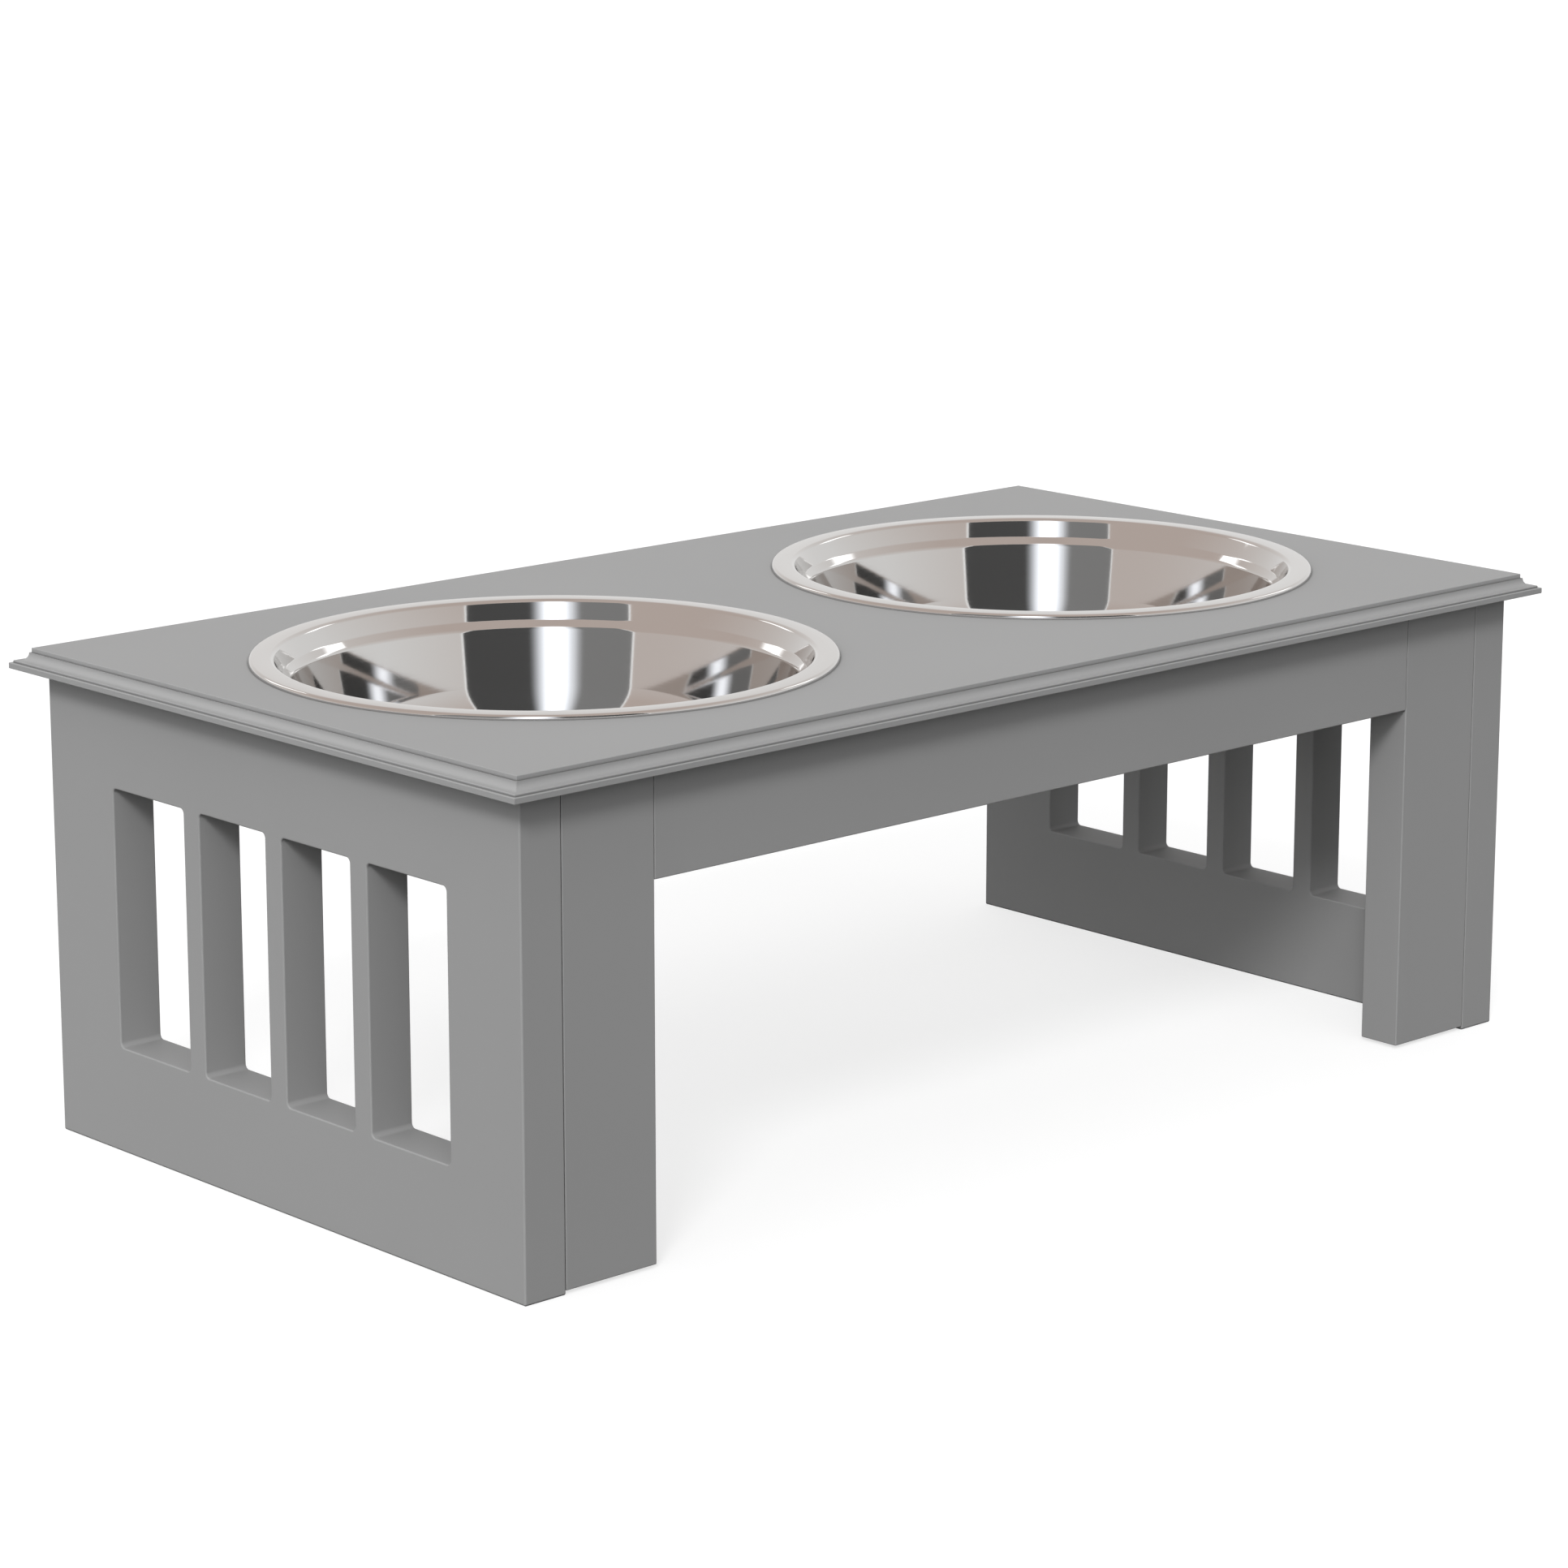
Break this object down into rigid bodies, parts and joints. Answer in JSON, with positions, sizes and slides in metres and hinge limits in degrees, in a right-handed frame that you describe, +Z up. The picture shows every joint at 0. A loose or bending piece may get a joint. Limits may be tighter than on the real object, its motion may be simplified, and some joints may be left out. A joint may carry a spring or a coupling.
{
  "type": "elevated dog feeder",
  "caption": "Low rectangular feeding stand of painted boards with a moulded top, slotted end panels and round steel bowls that lift out of the top.",
  "frame": {"origin": "on the floor under the middle of the stand", "axes": "+X along the length to the right as seen from the front, +Y to the back, +Z up"},
  "size_m": [0.44, 0.243, 0.1555],
  "materials": {
    "painted_board": "smooth satin grey lacquer on fibreboard",
    "pine_block": "bare planed pine",
    "beech_dowel": "bare turned beech",
    "zinc_cam": "die-cast zinc, dull grey",
    "plated_steel": "zinc-plated steel",
    "bowl_steel": "polished stainless steel"
  },
  "bodies": {
    "stand": {"top_board": "painted_board", "left_side_panel": "painted_board", "right_side_panel": "painted_board", "left_leg": "painted_board", "right_leg": "painted_board", "front_apron": "painted_board", "back_rail": "painted_board", "front_left_block": "pine_block", "front_right_block": "pine_block", "back_left_block": "pine_block", "back_right_block": "pine_block", "apron_dowels": "beech_dowel", "panel_dowels": "beech_dowel", "cam_locks": "zinc_cam", "cam_bolts": "plated_steel", "top_screws": "plated_steel", "side_screws": "plated_steel"},
    "left_bowl": {"left_bowl": "bowl_steel"},
    "right_bowl": {"right_bowl": "bowl_steel"}
  },
  "joints": [
    {"name": "left_bowl_lift", "type": "slide", "parent": "stand", "child": "left_bowl", "axis": [0, 0, 1], "range_m": [0, 0.1]},
    {"name": "right_bowl_lift", "type": "slide", "parent": "stand", "child": "right_bowl", "axis": [0, 0, 1], "range_m": [0, 0.1]}
  ]
}
